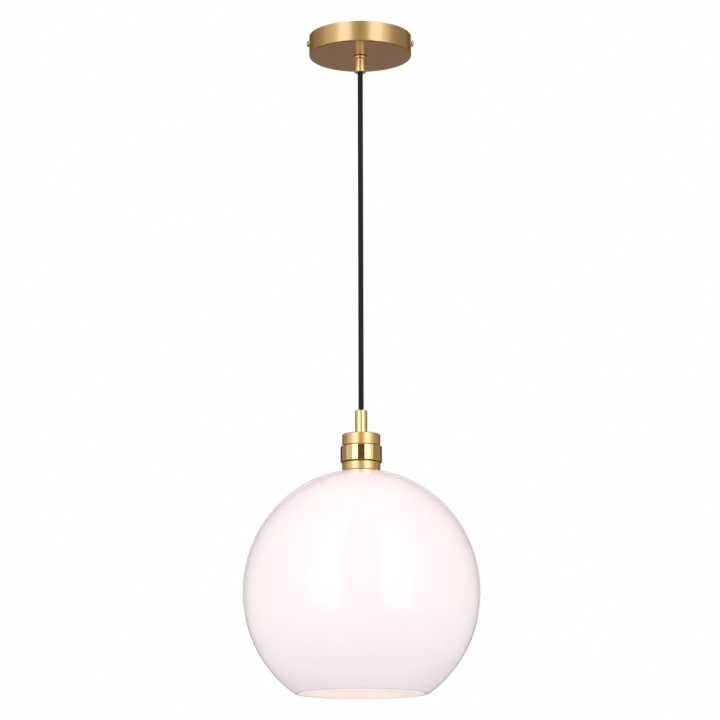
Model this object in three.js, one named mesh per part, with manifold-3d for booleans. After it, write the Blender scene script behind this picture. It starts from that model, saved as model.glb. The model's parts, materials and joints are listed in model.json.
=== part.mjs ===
// Globe pendant ceiling light: a ceiling canopy, a straight cord and a lamp head with an open glass globe.
// Units are millimetres and +Z is up. The origin is on the ceiling plane, in the middle of the crossbar's
// top face, so everything hangs below z = 0. All round parts share the Z axis.

import * as THREE from 'three';
import { mergeVertices } from 'three/addons/utils/BufferGeometryUtils.js';
import Module from 'manifold-3d';

const wasm = await Module();
wasm.setup();

// ---------------------------------------------------------------- driving dimensions

const GAP = 0.3; // space between pieces that touch on the real lamp

const CANOPY = { radius: 62.5, height: 25, wall: 1.2, edge: 1.5 };
const CROSSBAR = { halfLength: 60, width: 16, thickness: 1.5, earDrop: 14, bend: 2.5 };
const SLOT = { centre: 40, length: 22, width: 5.2 }; // for the ceiling box's two screws
const SIDE_SCREW = { depth: 8.7, headRadius: 4, headHeight: 2.8, rim: 0.9, shankRadius: 2, shankLength: 6.3 };
const GROUND_SCREW = { x: -16, headRadius: 4.2, headHeight: 2.5, chamfer: 0.8, shankRadius: 2 };
const COLLAR = { radius: 8.5, height: 3.3, edge: 0.5 };
const UPPER_GRIP = { radius: 7.3, length: 16.8, edge: 1, screwDepth: 8 };
const LOWER_GRIP = { radius: 7.35, length: 28.9, edge: 1.2, screwDepth: 16 };
const STUB = { radius: 4.8, aboveCanopy: 8.3, belowCap: 9.9 }; // threaded end of each cord grip
const GRIP_BORE = 3.5; // radius, a sliding fit on the cord
const GRIP_SCREW = { radius: 1.5, recess: 0.3 };
const CORD = { radius: 3.1, freeLength: 420.5, tailTop: 0.4 }; // tailTop is below the lower grip's rim
const JACKET = { aboveUpperStub: 3.5, belowLowerStub: 2 };
const MOUTH = { depth: 2, radius: 4.8, throat: 3.95, throatDepth: 1 }; // flare that lets the cord lean
const BEND_SPACING = 8.6; // between the cord's two bending points under the canopy
const WASHER = { radius: 9, thickness: 1 };
const NUT = { acrossFlats: 14, height: 3.5 };
const LEAD = { radius: 0.95, spread: 1.6 };
const CONNECTOR = { mouthRadius: 6.2, rim: 3, tipRadius: 3.6, height: 15.5, edge: 1, mouthDepth: 7 };
const CONNECTOR_BORE = { mouthRadius: 4.8, endRadius: 4.2, depth: 9, leadDepth: 5 };

const CAP = { radius: 22.85, height: 13.6, wall: 1.2, edge: 1.5 };
const RING = { radius: 24.85, height: 20.5, chamfer: 1.4 };
const SLEEVE = { height: 9.3 };
const COUPLING = { wall: 1.2, aboveRing: 8.8, belowRing: 7.9 };
const HOLDER = { radius: 18.9, capHeight: 5.7, wireChamber: 15, platform: 7, socketDepth: 30 };
const HOLDER_BORE = { wires: 15.5, socket: 14.6, rivet: 2.2 };
const TERMINAL = { headRadius: 3.2, headHeight: 2.5, chamfer: 0.7, shankRadius: 1.5, offset: 8.5, length: 6.5 };
const GROUND_TERMINAL = { y: 10, length: 4.5 };
const SHELL = { radius: 14.3, thickness: 0.65, length: 26.7, flangeBore: 6.5 };
const CONTACT = { rivet: 1.9, leaf: 4.2, leafThickness: 1, headRadius: 3.2, headHeight: 1.2 };
const GLOBE = { radius: 140, halfHeight: 144.7, wall: 2.6, neck: 19.75, mouthBelowCentre: 119.9, seat: 0.6 };
const GASKET = { thickness: 1.2, lowerInner: 19.6, lowerOuter: 27, lowerRim: 0.9 };
const SHADE_RING = { bore: 19.2, flange: 27.5, flangeHeight: 2.5, hub: 22.5, height: 8 };
const BULB = { radius: 30, length: 109, glass: 1, neckRadius: 13, shoulder: 16, fullness: 22 };
const BULB_CAP = { radius: 13.1, length: 22.5, wall: 0.6, crownRadius: 6, crownHeight: 3.2 };
const BULB_TIP = { height: 3.2, topRadius: 3, topChamfer: 1.3, topEdge: 0.3 };

// Flat sides that stand in for a full circle.
const SIDES = { lead: 8, small: 12, screw: 16, bulb: 20, grip: 24, holder: 32, shell: 40, canopy: 52 };
const GLOBE_GRID = { sides: 32, steps: 10 }; // steps run from the lower gasket's seat down to the mouth
const OVERCUT = 5; // how far a cutter reaches past what it cuts

const clearance = (radius) => radius + GAP;

// ---------------------------------------------------------------- levels, from the ceiling down

const canopyPlateTop = CANOPY.wall - CANOPY.height;
const collarTop = -CANOPY.height - GAP;
const collarBottom = collarTop - COLLAR.height;
const upperGripTop = collarBottom - GAP;
const upperGripBottom = upperGripTop - UPPER_GRIP.length;
const upperStubTop = canopyPlateTop + STUB.aboveCanopy;
const upperJacketTop = upperStubTop + JACKET.aboveUpperStub;
const firstBend = upperGripBottom + MOUTH.depth;
const secondBend = firstBend - BEND_SPACING;

const lowerGripTop = upperGripBottom - CORD.freeLength;
const lowerBend = lowerGripTop - MOUTH.depth;
const cordBottom = lowerGripTop - CORD.tailTop;
const lowerGripBottom = lowerGripTop - LOWER_GRIP.length;
const capTop = lowerGripBottom - GAP;
const capPlateBottom = capTop - CAP.wall;
const capBottom = capTop - CAP.height;
const ringTop = capBottom - GAP;
const ringBottom = ringTop - RING.height;
const sleeveTop = ringBottom - GAP;
const sleeveBottom = sleeveTop - SLEEVE.height;
const lowerStubBottom = capPlateBottom - STUB.belowCap;
const lowerJacketBottom = lowerStubBottom - JACKET.belowLowerStub;

const headWasherTop = capPlateBottom - GAP;
const headNutTop = headWasherTop - WASHER.thickness - GAP;
const holderCapTop = headNutTop - NUT.height - GAP;
const holderCapBottom = holderCapTop - HOLDER.capHeight;
const holderTop = holderCapBottom - GAP;
const platformTop = holderTop - HOLDER.wireChamber;
const platformBottom = platformTop - HOLDER.platform;
const holderBottom = platformBottom - HOLDER.socketDepth;
const shellTop = platformBottom - GAP;
const contactBottom = shellTop - CONTACT.leafThickness;
const bulbTop = contactBottom - GAP;
const bulbCapTop = bulbTop - BULB_TIP.height;
const bulbCapBottom = bulbCapTop - BULB_CAP.length;
const bulbBottom = bulbTop - BULB.length;

const globeHeightAt = (r) => GLOBE.halfHeight * Math.sqrt(1 - (r / GLOBE.radius) ** 2);
const globeCentre = sleeveBottom - GLOBE.seat - globeHeightAt(CAP.radius);
const couplingTop = ringTop + COUPLING.aboveRing;
const couplingBottom = ringBottom - COUPLING.belowRing;
const couplingOuter = CAP.radius - CAP.wall - GAP;
const couplingInner = couplingOuter - COUPLING.wall;
const upperGasketTop = couplingBottom - GAP;

// ---------------------------------------------------------------- materials

const finish = (color, roughness, metalness) => new THREE.MeshStandardMaterial({ color, roughness, metalness });

const FINISH = {
  brushedGold: () => finish(0xc9a062, 0.35, 1),
  polishedBrass: () => finish(0xd8b478, 0.12, 1),
  plainBrass: () => finish(0xb58c48, 0.4, 1),
  zincSteel: () => finish(0xb4b6b8, 0.4, 1),
  blackBraid: () => finish(0x1c1b20, 0.9, 0),
  opalGlass: () => finish(0xfdf6f6, 0.1, 0),
  porcelain: () => finish(0xf0ece2, 0.3, 0),
  rubber: () => finish(0x2a2a2a, 0.8, 0),
  greenScrew: () => finish(0x2f7d42, 0.5, 0.6),
  blackPlastic: () => finish(0x18181a, 0.5, 0),
  whitePlastic: () => finish(0xe8e8e6, 0.5, 0),
  greenPlastic: () => finish(0x2f8a4a, 0.5, 0),
  orangePlastic: () => finish(0xd97a2b, 0.5, 0),
};

// ---------------------------------------------------------------- shape helpers

// A closed body turned about Z. The profile is a list of [radius, z] that keeps the material on its left.
function turned(profile, segments) {
  const points = profile.map(([r, z]) => new THREE.Vector2(r, z));
  return new THREE.LatheGeometry(points, segments).rotateX(Math.PI / 2);
}

// A hollow body of revolution: the same, with the profile joined end to end.
function turnedRing(profile, segments) {
  return turned([...profile, profile[0]], segments);
}

// Points of a round corner in a profile, from one angle to another in degrees.
function corner(r, z, radius, from, to, steps) {
  const points = [];
  for (let i = 0; i <= steps; i += 1) {
    const angle = THREE.MathUtils.degToRad(from + ((to - from) * i) / steps);
    points.push([r + radius * Math.cos(angle), z + radius * Math.sin(angle)]);
  }
  return points;
}

// A plain ring of rectangular section.
function flatRing(inner, outer, bottom, top, segments) {
  return turnedRing([[inner, bottom], [outer, bottom], [outer, top], [inner, top]], segments);
}

// A round tube along a curve.
function tubeAlong(curve, radius, sides, steps) {
  const section = new THREE.Shape().absarc(0, 0, radius, 0, 2 * Math.PI);
  return new THREE.ExtrudeGeometry(section, { extrudePath: curve, steps, curveSegments: sides / 2 });
}

// A round rod along X, Y or Z, for pins and for cutting holes.
function rod(axis, radius, from, to, centre, sides = SIDES.small) {
  const geometry = new THREE.CylinderGeometry(radius, radius, to - from, sides);
  if (axis === 'x') geometry.rotateZ(-Math.PI / 2);
  if (axis === 'z') geometry.rotateX(Math.PI / 2);
  const middle = { x: 0, y: 0, z: 0, ...centre, [axis]: (from + to) / 2 };
  return geometry.translate(middle.x, middle.y, middle.z);
}

function toSolid(geometry) {
  const bare = geometry.clone();
  bare.deleteAttribute('normal');
  bare.deleteAttribute('uv');
  const welded = mergeVertices(bare);
  const corners = welded.index.array;
  const triangles = [];
  for (let i = 0; i < corners.length; i += 3) {
    const [a, b, c] = corners.slice(i, i + 3);
    if (a !== b && b !== c && c !== a) triangles.push(a, b, c);
  }
  const vertProperties = new Float32Array(welded.attributes.position.array);
  const triVerts = new Uint32Array(triangles);
  return new wasm.Manifold(new wasm.Mesh({ numProp: 3, vertProperties, triVerts }));
}

function toGeometry(solid) {
  const mesh = solid.getMesh();
  const geometry = new THREE.BufferGeometry();
  geometry.setAttribute('position', new THREE.BufferAttribute(new Float32Array(mesh.vertProperties), 3));
  geometry.setIndex(new THREE.BufferAttribute(new Uint32Array(mesh.triVerts), 1));
  geometry.computeVertexNormals();
  return geometry;
}

function cut(body, ...tools) {
  return toGeometry(tools.reduce((solid, tool) => solid.subtract(toSolid(tool)), toSolid(body)));
}

function join(body, other) {
  return toGeometry(toSolid(body).add(toSolid(other)));
}

// ---------------------------------------------------------------- ceiling side

// U-shaped mounting strap. Its flat top lies on the junction box and its ears take the side screws.
function crossbar() {
  const { halfLength: x, thickness: t, earDrop, bend, width } = CROSSBAR;
  const outline = new THREE.Shape();
  outline.moveTo(-x, -earDrop);
  outline.lineTo(-x + t, -earDrop);
  outline.lineTo(-x + t, -bend);
  outline.absarc(-x + bend, -bend, bend - t, Math.PI, Math.PI / 2, true);
  outline.lineTo(x - bend, -t);
  outline.absarc(x - bend, -bend, bend - t, Math.PI / 2, 0, true);
  outline.lineTo(x - t, -earDrop);
  outline.lineTo(x, -earDrop);
  outline.absarc(x - bend, -bend, bend, 0, Math.PI / 2, false);
  outline.absarc(-x + bend, -bend, bend, Math.PI / 2, Math.PI, false);
  const strap = new THREE.ExtrudeGeometry(outline, { depth: width, bevelEnabled: false, curveSegments: 4 });
  strap.rotateX(Math.PI / 2).translate(0, width / 2, 0);
  const reach = x + OVERCUT;
  const earHoles = rod('x', clearance(SIDE_SCREW.shankRadius), -reach, reach, { z: -SIDE_SCREW.depth });
  const groundHole = rod('z', clearance(GROUND_SCREW.shankRadius), -OVERCUT, OVERCUT, { x: GROUND_SCREW.x });
  return cut(strap, earHoles, groundHole, slot(-SLOT.centre), slot(SLOT.centre));
}

// A vertical cutter with round ends for one long hole in the crossbar.
function slot(x) {
  const reach = (SLOT.length - SLOT.width) / 2;
  const outline = new THREE.Shape();
  outline.absarc(reach, 0, SLOT.width / 2, -Math.PI / 2, Math.PI / 2, false);
  outline.absarc(-reach, 0, SLOT.width / 2, Math.PI / 2, 1.5 * Math.PI, false);
  const options = { depth: 2 * OVERCUT, bevelEnabled: false, curveSegments: 8 };
  return new THREE.ExtrudeGeometry(outline, options).translate(x, 0, -OVERCUT);
}

// Shallow drawn cup, open at the ceiling, with a centre hole and two side holes.
function canopy() {
  const { radius, height, wall, edge } = CANOPY;
  const hole = clearance(STUB.radius);
  const inner = radius - wall;
  const cup = turnedRing([
    [hole, -height],
    ...corner(radius - edge, edge - height, edge, -90, 0, 3),
    [radius, 0],
    [inner, 0],
    [inner, edge - height],
    [radius - edge, canopyPlateTop],
    [hole, canopyPlateTop],
  ], SIDES.canopy);
  const reach = radius + OVERCUT;
  return cut(cup, rod('x', clearance(SIDE_SCREW.shankRadius), -reach, reach, { z: -SIDE_SCREW.depth }));
}

// Domed screw along Z, with its head's underside at z = 0.
function sideScrew() {
  const { headRadius, headHeight, rim, shankRadius, shankLength } = SIDE_SCREW;
  const dome = corner(0, 0, 1, 0, 90, 4).map(([r, z]) => [r * headRadius, rim + z * (headHeight - rim)]);
  return turned([
    [0, -shankLength],
    [shankRadius, -shankLength],
    [shankRadius, 0],
    [headRadius, 0],
    ...dome,
  ], SIDES.screw);
}

// Pan-head screw that holds the ground wire under the crossbar.
function groundScrew() {
  const { headRadius, headHeight, chamfer, shankRadius } = GROUND_SCREW;
  const seat = -CROSSBAR.thickness - GAP;
  return turned([
    [0, seat - headHeight],
    [headRadius - chamfer, seat - headHeight],
    [headRadius, seat - headHeight + chamfer],
    [headRadius, seat],
    [shankRadius, seat],
    [shankRadius, -GAP],
    [0, -GAP],
  ], SIDES.screw);
}

// Washer round a grip's stub, with its top face at the given level.
function stubWasher(top) {
  return flatRing(clearance(STUB.radius), WASHER.radius, top - WASHER.thickness, top, SIDES.grip);
}

// Hexagon nut with its top face at the given level.
function hexNut(top) {
  const nut = new THREE.Shape();
  const cornerRadius = NUT.acrossFlats / Math.sqrt(3);
  for (let i = 0; i < 6; i += 1) {
    const angle = (i * Math.PI) / 3;
    const point = [cornerRadius * Math.cos(angle), cornerRadius * Math.sin(angle)];
    if (i === 0) nut.moveTo(...point);
    else nut.lineTo(...point);
  }
  nut.closePath();
  nut.holes.push(new THREE.Path().absarc(0, 0, clearance(STUB.radius), 0, 2 * Math.PI, true));
  const body = new THREE.ExtrudeGeometry(nut, { depth: NUT.height, bevelEnabled: false, curveSegments: 12 });
  return body.translate(0, 0, top - NUT.height);
}

function collar() {
  const { radius, edge } = COLLAR;
  return turnedRing([
    [clearance(STUB.radius), collarBottom],
    [radius - edge, collarBottom],
    [radius, collarBottom + edge],
    [radius, collarTop],
    [clearance(STUB.radius), collarTop],
  ], SIDES.grip);
}

// Cord grip under the canopy: a body with a threaded stub on top and a flared mouth below.
function upperCordGrip() {
  const { radius, edge } = UPPER_GRIP;
  const body = turnedRing([
    [MOUTH.radius, upperGripBottom],
    ...corner(radius - edge, upperGripBottom + edge, edge, -90, 0, 3),
    [radius, upperGripTop],
    [STUB.radius, upperGripTop],
    [STUB.radius, upperStubTop],
    [GRIP_BORE, upperStubTop],
    [GRIP_BORE, firstBend + MOUTH.throatDepth],
    [MOUTH.throat, firstBend],
  ], SIDES.grip);
  return cut(body, gripScrewHole(upperGripTop - UPPER_GRIP.screwDepth, radius));
}

// Cord grip on the lamp head: the same body upside down, and longer.
function lowerCordGrip() {
  const { radius, edge } = LOWER_GRIP;
  const body = turnedRing([
    [GRIP_BORE, lowerStubBottom],
    [STUB.radius, lowerStubBottom],
    [STUB.radius, lowerGripBottom],
    [radius, lowerGripBottom],
    ...corner(radius - edge, lowerGripTop - edge, edge, 0, 90, 3),
    [MOUTH.radius, lowerGripTop],
    [MOUTH.throat, lowerBend],
    [GRIP_BORE, lowerBend - MOUTH.throatDepth],
  ], SIDES.grip);
  return cut(body, gripScrewHole(lowerGripTop - LOWER_GRIP.screwDepth, radius));
}

function gripScrewHole(z, gripRadius) {
  return rod('y', clearance(GRIP_SCREW.radius), GRIP_BORE / 2, gripRadius + OVERCUT, { z });
}

// Set screw that pinches the cord from the back of a grip.
function gripScrew(z, gripRadius) {
  return rod('y', GRIP_SCREW.radius, CORD.radius + GAP, gripRadius - GRIP_SCREW.recess, { z }, SIDES.screw);
}

// Twist-on wire connector: a tapered cap with its open mouth up.
function wireConnector() {
  const { mouthRadius, rim, tipRadius, height, edge } = CONNECTOR;
  return turned([
    [0, -height],
    [tipRadius - edge, -height],
    [tipRadius, edge - height],
    [mouthRadius, -rim],
    [mouthRadius, 0],
    [CONNECTOR_BORE.mouthRadius, 0],
    [CONNECTOR_BORE.endRadius, -CONNECTOR_BORE.depth],
    [0, -CONNECTOR_BORE.depth],
  ], SIDES.screw);
}

// Insulated lead from the cord's end in the canopy, over to a connector and down into its mouth. It leaves the
// cord on the side given by turn, climbs to just under the crossbar and arches over.
function canopyLead(turn, { x, y }) {
  const start = new THREE.Vector3(Math.cos(turn), Math.sin(turn), 0).multiplyScalar(LEAD.spread);
  const points = [
    new THREE.Vector3(start.x, start.y, upperJacketTop + GAP),
    new THREE.Vector3(start.x * 1.1, start.y * 1.1, upperJacketTop + 3),
    new THREE.Vector3(start.x + x * 0.22, start.y + y * 0.22, -5),
    new THREE.Vector3(x * 0.65, y * 0.65, -3.6),
    new THREE.Vector3(x * 0.93, y * 0.93, -3.9),
    new THREE.Vector3(x, y, -CONNECTOR.mouthDepth),
    new THREE.Vector3(x, y, -CONNECTOR.mouthDepth - CONNECTOR_BORE.leadDepth),
  ];
  return tubeAlong(new THREE.CatmullRomCurve3(points), LEAD.radius, SIDES.lead, 20);
}

// ---------------------------------------------------------------- cord

// Every end that bends is a ball centred on its bending point, so it turns without touching its neighbour.

// The straight length that hangs between the two grips.
function cord() {
  const steps = Math.round((secondBend - cordBottom) / (5 * CORD.radius));
  const line = new THREE.LineCurve3(new THREE.Vector3(0, 0, cordBottom), new THREE.Vector3(0, 0, secondBend));
  const end = new THREE.SphereGeometry(CORD.radius, SIDES.small, 8).rotateX(Math.PI / 2);
  return join(tubeAlong(line, CORD.radius, SIDES.small, steps), end.translate(0, 0, secondBend));
}

// The short length in and just below the upper grip's mouth.
function cordNeck() {
  const bottom = secondBend + CORD.radius + GAP;
  const end = corner(0, firstBend, CORD.radius, 0, 90, 4);
  return turned([[0, bottom], [CORD.radius, bottom], ...end], SIDES.small);
}

// The short length in the lower grip's mouth.
function cordTail() {
  const top = cordBottom - GAP;
  const end = corner(0, lowerBend, CORD.radius, -90, 0, 4);
  return turned([...end, [CORD.radius, top], [0, top]], SIDES.small);
}

// The cord's outer jacket where a grip holds it.
function jacket(bottom, top) {
  return rod('z', CORD.radius, bottom, top, {});
}

// ---------------------------------------------------------------- lamp head

function socketCap() {
  const { radius, edge, wall } = CAP;
  const hole = clearance(STUB.radius);
  return turnedRing([
    [hole, capPlateBottom],
    [radius - edge, capPlateBottom],
    [radius - wall, capTop - edge],
    [radius - wall, capBottom],
    [radius, capBottom],
    ...corner(radius - edge, capTop - edge, edge, 0, 90, 3),
    [hole, capTop],
  ], SIDES.shell);
}

function polishedRing() {
  const { radius, chamfer } = RING;
  const bore = CAP.radius - CAP.wall;
  return turnedRing([
    [bore, ringBottom],
    [radius - chamfer, ringBottom],
    [radius, ringBottom + chamfer],
    [radius, ringTop - chamfer],
    [radius - chamfer, ringTop],
    [bore, ringTop],
  ], SIDES.shell);
}

// Insulating cap of the lampholder, screwed on the grip's stub.
function holderCap() {
  const plate = flatRing(clearance(STUB.radius), HOLDER.radius, holderCapBottom, holderCapTop, SIDES.holder);
  return cut(plate, terminalHole(holderCapBottom, holderCapTop, { y: GROUND_TERMINAL.y }));
}

// Porcelain body: a wire chamber above a platform, the lamp socket below it, and a thread outside.
function holderBody() {
  const body = turnedRing([
    [HOLDER_BORE.rivet, platformBottom],
    [HOLDER_BORE.socket, platformBottom],
    [HOLDER_BORE.socket, holderBottom],
    [HOLDER.radius, holderBottom],
    [HOLDER.radius, holderTop],
    [HOLDER_BORE.wires, holderTop],
    [HOLDER_BORE.wires, platformTop],
    [HOLDER_BORE.rivet, platformTop],
  ], SIDES.holder);
  const holes = [-1, 1].map((side) => terminalHole(platformBottom, platformTop, { x: side * TERMINAL.offset }));
  return cut(body, ...holes);
}

// Cutter for a binding screw's hole through a plate.
function terminalHole(bottom, top, centre) {
  return rod('z', clearance(TERMINAL.shankRadius), bottom - OVERCUT, top + OVERCUT, centre);
}

function screwShell() {
  const { radius, thickness, length, flangeBore } = SHELL;
  return turnedRing([
    [flangeBore, shellTop - thickness],
    [radius - thickness, shellTop - thickness],
    [radius - thickness, shellTop - length],
    [radius, shellTop - length],
    [radius, shellTop],
    [flangeBore, shellTop],
  ], SIDES.grip);
}

// Rivet through the platform with the leaf that meets the bulb's tip.
function centreContact() {
  const { rivet, leaf, headRadius, headHeight } = CONTACT;
  const headBottom = platformTop + GAP;
  return turned([
    [0, contactBottom],
    [leaf, contactBottom],
    [leaf, shellTop],
    [rivet, shellTop],
    [rivet, headBottom],
    [headRadius, headBottom],
    [headRadius, headBottom + headHeight],
    [0, headBottom + headHeight],
  ], SIDES.small);
}

// Binding screw with its head's underside at z = 0 and its shank below.
function bindingScrew(shankLength) {
  const { headRadius, headHeight, chamfer, shankRadius } = TERMINAL;
  return turned([
    [0, -shankLength],
    [shankRadius, -shankLength],
    [shankRadius, 0],
    [headRadius, 0],
    [headRadius, headHeight - chamfer],
    [headRadius - chamfer, headHeight],
    [0, headHeight],
  ], SIDES.small);
}

function headLead(points) {
  const route = points.map(([x, y, z]) => new THREE.Vector3(x, y, z));
  return tubeAlong(new THREE.CatmullRomCurve3(route), LEAD.radius, SIDES.lead, 12);
}

// From the cord's end down to the head of a terminal screw.
function terminalLead(side) {
  const top = lowerJacketBottom - GAP;
  const x = side * TERMINAL.offset;
  const end = platformTop + TERMINAL.headHeight + 2 * GAP;
  return headLead([
    [side * LEAD.spread, -0.7, top],
    [side * 2, -0.7, top - 3],
    [x * 0.75, 0, end + 5],
    [x, 0, end + 2.5],
    [x, 0, end],
  ]);
}

// From the cord's end round to the ground screw in the lampholder's cap.
function headGroundLead() {
  const top = lowerJacketBottom - GAP;
  const end = holderCapBottom - TERMINAL.headHeight - 2 * GAP;
  const { y } = GROUND_TERMINAL;
  return headLead([
    [0, 1.5, top],
    [0, 2.2, top - 3],
    [0, y - 3.5, top - 6.5],
    [0, y - 0.4, top - 5],
    [0, y, end],
  ]);
}

// ---------------------------------------------------------------- glass globe and its ring

// Points of one surface of the globe, from its neck past the seat of the lower gasket and down to its mouth.
function globeSide(inset) {
  const radius = GLOBE.radius - inset;
  const halfHeight = GLOBE.halfHeight - inset;
  const angleAt = (r) => Math.asin(r / radius);
  const seatAngle = angleAt(GASKET.lowerOuter + 1);
  const mouthAngle = Math.acos(-GLOBE.mouthBelowCentre / halfHeight);
  const angles = [angleAt(GLOBE.neck)];
  for (let i = 0; i <= GLOBE_GRID.steps; i += 1) {
    angles.push(seatAngle + ((mouthAngle - seatAngle) * i) / GLOBE_GRID.steps);
  }
  return angles.map((angle) => [radius * Math.sin(angle), globeCentre + halfHeight * Math.cos(angle)]);
}

// Slightly tall globe of even thickness, open at the neck and cut off flat at the bottom.
function glassGlobe() {
  return turnedRing([...globeSide(GLOBE.wall), ...globeSide(0).reverse()], GLOBE_GRID.sides);
}

const innerGlassAt = (r) => globeCentre
  + (GLOBE.halfHeight - GLOBE.wall) * Math.sqrt(1 - (r / (GLOBE.radius - GLOBE.wall)) ** 2);
const lowerGasketBottom = innerGlassAt(GASKET.lowerOuter) - GAP - GASKET.lowerRim;
const shadeRingTop = lowerGasketBottom - GAP;

// Soft washer under the glass, with a sloping top that follows the inside of the globe.
function lowerGasket() {
  const { lowerInner, lowerOuter } = GASKET;
  return turnedRing([
    [lowerInner, lowerGasketBottom],
    [lowerOuter, lowerGasketBottom],
    [lowerOuter, innerGlassAt(lowerOuter) - GAP],
    [lowerInner, innerGlassAt(lowerInner) - GAP],
  ], SIDES.holder);
}

function shadeRing() {
  const { bore, flange, flangeHeight, hub, height } = SHADE_RING;
  return turnedRing([
    [bore, shadeRingTop - height],
    [hub, shadeRingTop - height],
    [hub, shadeRingTop - flangeHeight],
    [flange, shadeRingTop - flangeHeight],
    [flange, shadeRingTop],
    [bore, shadeRingTop],
  ], SIDES.shell);
}

// ---------------------------------------------------------------- bulb

function bulbContact() {
  const { leaf } = CONTACT;
  const { topRadius, topChamfer, topEdge } = BULB_TIP;
  return turned([
    [0, bulbCapTop + GAP],
    [leaf, bulbCapTop + GAP],
    [leaf, bulbTop - topEdge - topChamfer],
    [topRadius, bulbTop - topEdge],
    [0, bulbTop],
  ], SIDES.small);
}

function bulbCap() {
  const { radius, wall, crownRadius, crownHeight } = BULB_CAP;
  return turned([
    [0, bulbCapTop - wall],
    [crownRadius, bulbCapTop - wall],
    [radius - wall, bulbCapTop - wall - crownHeight],
    [radius - wall, bulbCapBottom],
    [radius, bulbCapBottom],
    [radius, bulbCapTop - crownHeight],
    [crownRadius, bulbCapTop],
    [0, bulbCapTop],
  ], SIDES.grip);
}

// Outline of the bulb's glass at a given inset: a straight neck that swells into a ball.
function bulbSide(inset) {
  const { radius, neckRadius, shoulder, fullness } = BULB;
  const ball = bulbBottom + radius;
  const swell = new THREE.CubicBezierCurve(
    new THREE.Vector2(neckRadius - inset, bulbCapBottom - GAP),
    new THREE.Vector2(neckRadius + 3.5 - inset, bulbCapBottom - shoulder),
    new THREE.Vector2(radius - inset, ball + fullness),
    new THREE.Vector2(radius - inset, ball),
  );
  const side = swell.getPoints(6).map((point) => [point.x, point.y]);
  return [...side, ...corner(0, ball, radius - inset, 0, -90, 6).slice(1, -1), [0, bulbBottom + inset]];
}

function bulbGlass() {
  return turned([...bulbSide(0).reverse(), ...bulbSide(BULB.glass)], SIDES.bulb);
}

// ---------------------------------------------------------------- assembly

const pendant = new THREE.Group();

function addPart(name, geometry, material) {
  const mesh = new THREE.Mesh(geometry, material);
  mesh.name = name;
  pendant.add(mesh);
  return mesh;
}

function addCanopyAssembly() {
  addPart('crossbar', crossbar(), FINISH.zincSteel());
  addPart('canopy', canopy(), FINISH.brushedGold());
  for (const [name, side] of [['canopy_screw_left', -1], ['canopy_screw_right', 1]]) {
    const screw = addPart(name, sideScrew(), FINISH.polishedBrass());
    screw.rotation.y = (side * Math.PI) / 2;
    screw.position.set(side * (CANOPY.radius + GAP), 0, -SIDE_SCREW.depth);
  }
  const ground = addPart('ground_screw', groundScrew(), FINISH.greenScrew());
  ground.position.x = GROUND_SCREW.x;
  const washerTop = canopyPlateTop + GAP + WASHER.thickness;
  addPart('canopy_washer', stubWasher(washerTop), FINISH.zincSteel());
  addPart('canopy_lock_nut', hexNut(washerTop + GAP + NUT.height), FINISH.plainBrass());
  addPart('upper_grip_collar', collar(), FINISH.brushedGold());
  addPart('upper_cord_grip', upperCordGrip(), FINISH.brushedGold());
  const screwLevel = upperGripTop - UPPER_GRIP.screwDepth;
  addPart('upper_grip_screw', gripScrew(screwLevel, UPPER_GRIP.radius), FINISH.zincSteel());
}

function addCanopyWiring() {
  addPart('cord_upper_end', jacket(firstBend + CORD.radius + GAP, upperJacketTop), FINISH.blackBraid());
  const wires = [
    ['live', 210, { x: -22, y: 26 }, FINISH.blackPlastic, FINISH.orangePlastic],
    ['neutral', 90, { x: 0, y: 33 }, FINISH.whitePlastic, FINISH.orangePlastic],
    ['ground', 330, { x: 22, y: 26 }, FINISH.greenPlastic, FINISH.greenPlastic],
  ];
  for (const [name, degrees, place, leadFinish, connectorFinish] of wires) {
    const turn = THREE.MathUtils.degToRad(degrees);
    addPart(`canopy_lead_${name}`, canopyLead(turn, place), leadFinish());
    const connector = addPart(`wire_connector_${name}`, wireConnector(), connectorFinish());
    connector.position.set(place.x, place.y, -CONNECTOR.mouthDepth);
  }
}

function addCord() {
  addPart('cord_neck', cordNeck(), FINISH.blackBraid());
  addPart('cord', cord(), FINISH.blackBraid());
  addPart('cord_tail', cordTail(), FINISH.blackBraid());
}

function addHeadShells() {
  addPart('lower_cord_grip', lowerCordGrip(), FINISH.brushedGold());
  const screwLevel = lowerGripTop - LOWER_GRIP.screwDepth;
  addPart('lower_grip_screw', gripScrew(screwLevel, LOWER_GRIP.radius), FINISH.zincSteel());
  addPart('socket_cap', socketCap(), FINISH.brushedGold());
  addPart('polished_ring', polishedRing(), FINISH.polishedBrass());
  const sleeve = flatRing(CAP.radius - CAP.wall, CAP.radius, sleeveBottom, sleeveTop, SIDES.shell);
  addPart('lower_sleeve', sleeve, FINISH.brushedGold());
  const tube = flatRing(couplingInner, couplingOuter, couplingBottom, couplingTop, SIDES.holder);
  addPart('coupling_tube', tube, FINISH.plainBrass());
  addPart('head_washer', stubWasher(headWasherTop), FINISH.zincSteel());
  addPart('head_lock_nut', hexNut(headNutTop), FINISH.plainBrass());
}

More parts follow.
